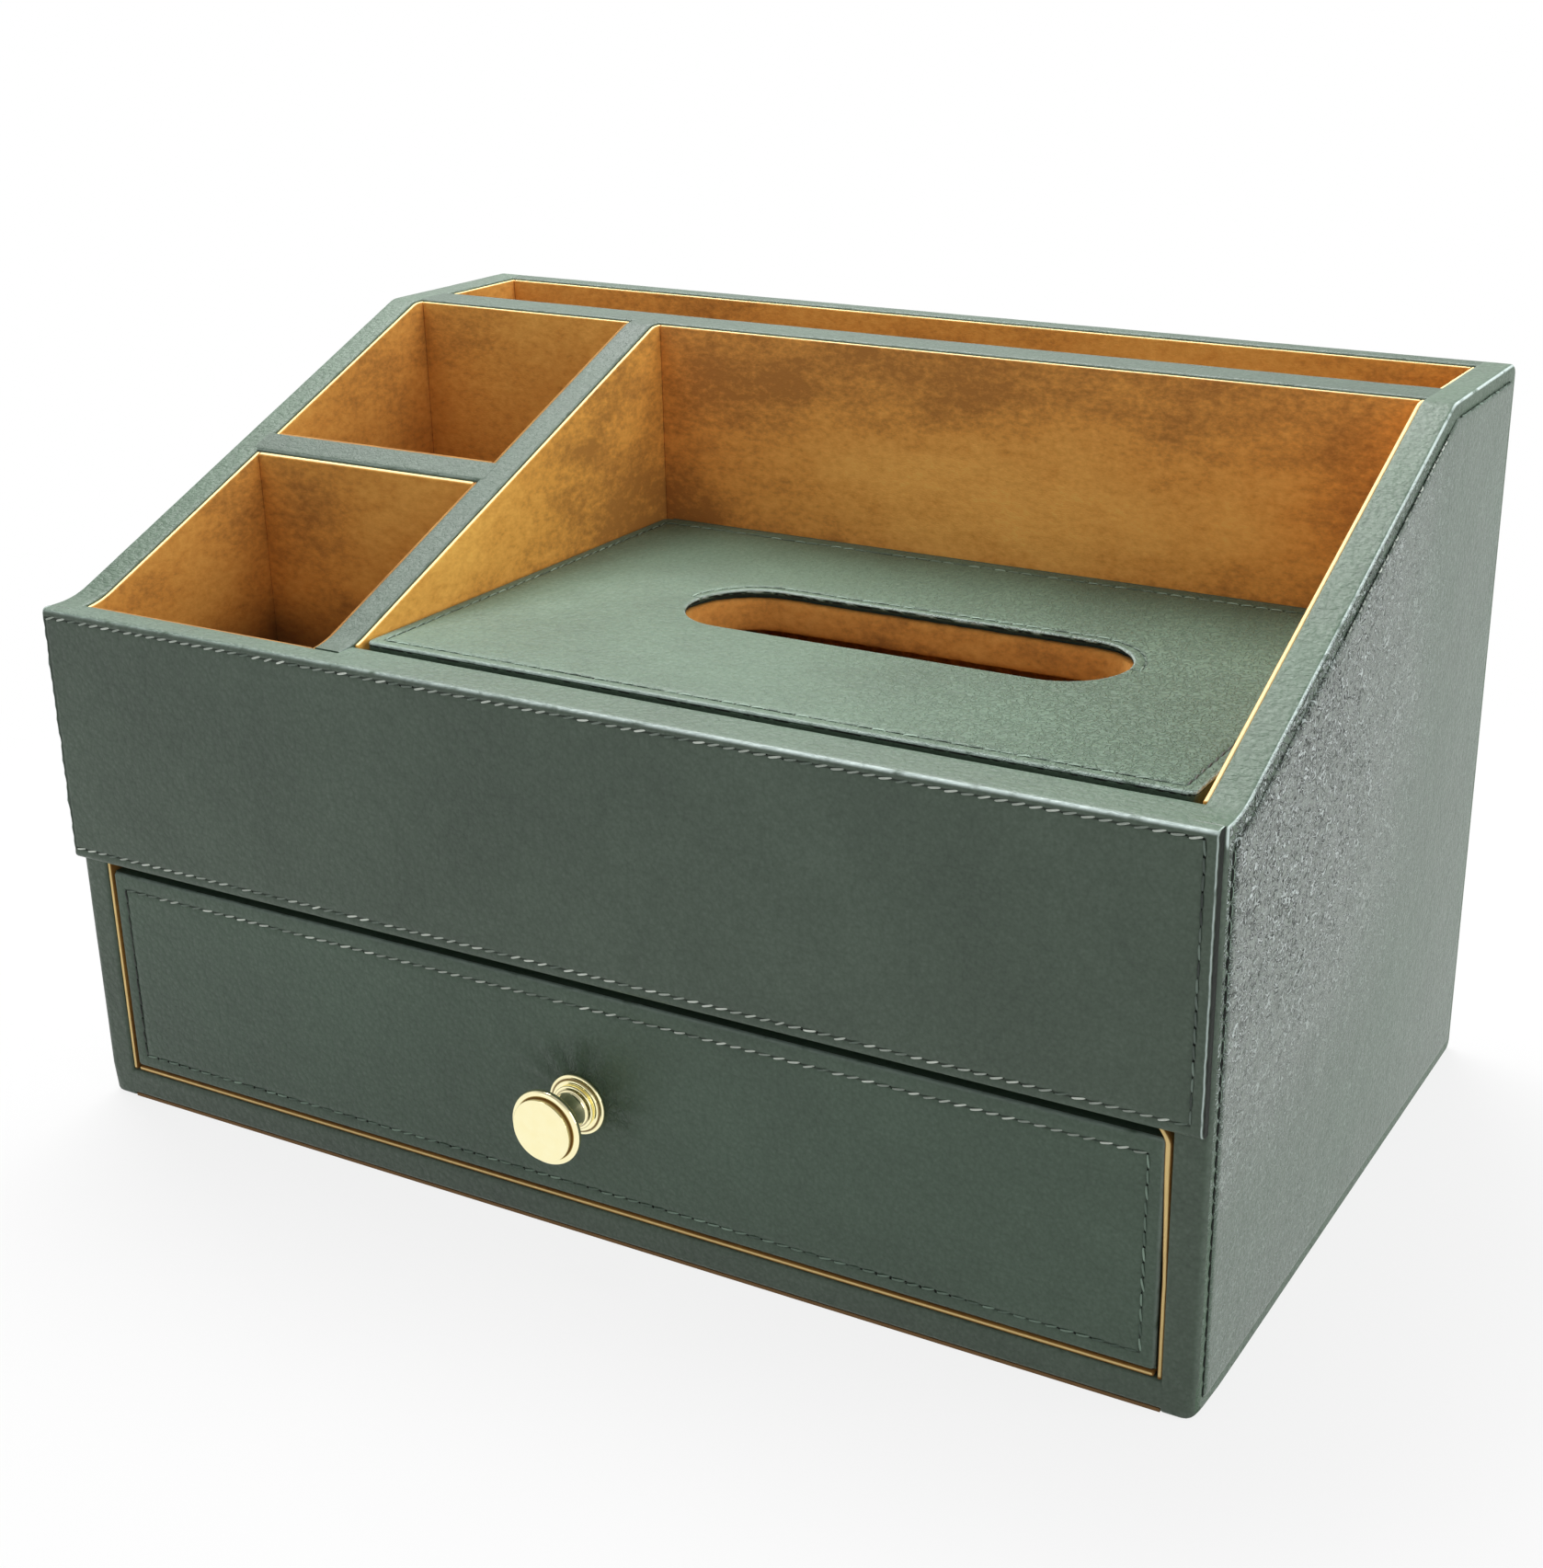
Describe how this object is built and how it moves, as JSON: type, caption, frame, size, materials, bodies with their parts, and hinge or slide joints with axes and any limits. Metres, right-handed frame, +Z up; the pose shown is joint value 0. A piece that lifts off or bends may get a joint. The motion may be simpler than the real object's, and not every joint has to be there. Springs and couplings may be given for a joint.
{
  "type": "desk organiser with tissue box and drawer",
  "caption": "Leather-covered desk box with a sloping top: a tissue bay under a slotted lid, small bins, a letter slot at the back and one wide drawer with a round metal knob",
  "frame": {"origin": "centre of the standing face, midway between the side facings and between the front edges of the sides and the back facing", "axes": "+X to the right seen from the front, the front and its drawer look along -Y, +Z up"},
  "size_m": [0.3012, 0.2031, 0.1845],
  "materials": {
    "leather_wrapped_board": "embossed grey-green leather wrapped over fibreboard, satin",
    "leather_sheet": "embossed grey-green leather sheet, satin",
    "suede_card": "tan suede-faced card with pale cut edges",
    "suede_pad": "padded tan suede",
    "drawer_board": "fibreboard covered with tan suede paper",
    "ledge": "fibreboard strip covered with tan suede paper",
    "hinge_strip": "thin folded leather strip",
    "underlay": "brown felt-like sheet",
    "knob_metal": "pale polished brass",
    "screw_steel": "plated steel"
  },
  "bodies": {
    "carcass": {"left_side_board": "leather_wrapped_board", "right_side_board": "leather_wrapped_board", "left_side_facing": "leather_sheet", "right_side_facing": "leather_sheet", "back_board": "leather_wrapped_board", "back_facing": "leather_sheet", "base_board": "leather_wrapped_board", "base_underlay": "underlay", "deck_board": "leather_wrapped_board", "front_board": "leather_wrapped_board", "tissue_front_rail": "leather_wrapped_board", "front_fascia": "leather_wrapped_board", "main_divider": "leather_wrapped_board", "bay_divider": "leather_wrapped_board", "bin_divider": "leather_wrapped_board", "front_bin_left_lining": "suede_card", "front_bin_right_lining": "suede_card", "front_bin_front_lining": "suede_card", "front_bin_rear_lining": "suede_card", "front_bin_floor_lining": "suede_card", "rear_bin_left_lining": "suede_card", "rear_bin_right_lining": "suede_card", "rear_bin_front_lining": "suede_card", "rear_bin_rear_lining": "suede_card", "rear_bin_floor_lining": "suede_card", "tissue_bay_left_lining": "suede_card", "tissue_bay_right_lining": "suede_card", "tissue_bay_front_lining": "suede_card", "tissue_bay_rear_lining": "suede_card", "tissue_bay_floor_lining": "suede_card", "letter_slot_left_lining": "suede_card", "letter_slot_right_lining": "suede_card", "letter_slot_front_lining": "suede_card", "letter_slot_rear_lining": "suede_card", "letter_slot_floor_lining": "suede_card", "drawer_bay_left_lining": "suede_card", "drawer_bay_right_lining": "suede_card", "drawer_bay_floor_lining": "suede_card", "lid_front_ledge": "ledge", "lid_rear_ledge": "ledge", "hinge_wall_leaf": "hinge_strip"},
    "drawer": {"drawer_front_board": "leather_wrapped_board", "drawer_front_facing": "leather_sheet", "drawer_front_lining": "suede_card", "drawer_left_side": "drawer_board", "drawer_right_side": "drawer_board", "drawer_back": "drawer_board", "drawer_bottom": "drawer_board", "drawer_floor_lining": "suede_card", "knob": "knob_metal", "knob_backplate": "knob_metal", "knob_screw": "screw_steel", "knob_washer": "screw_steel"},
    "lid": {"lid_board": "leather_wrapped_board", "lid_facing": "leather_sheet", "lid_lining": "suede_card", "slot_collar": "suede_pad", "hinge_lid_leaf": "hinge_strip"}
  },
  "joints": [
    {"name": "drawer_slide", "type": "slide", "parent": "carcass", "child": "drawer", "axis": [0, -1, 0], "range_m": [0, 0.125]},
    {"name": "lid_hinge", "type": "hinge", "parent": "carcass", "child": "lid", "pos_m": [0.0388, 0.04205, 0.1323], "axis": [-1, 0, 0], "range_deg": [0, 88]}
  ]
}
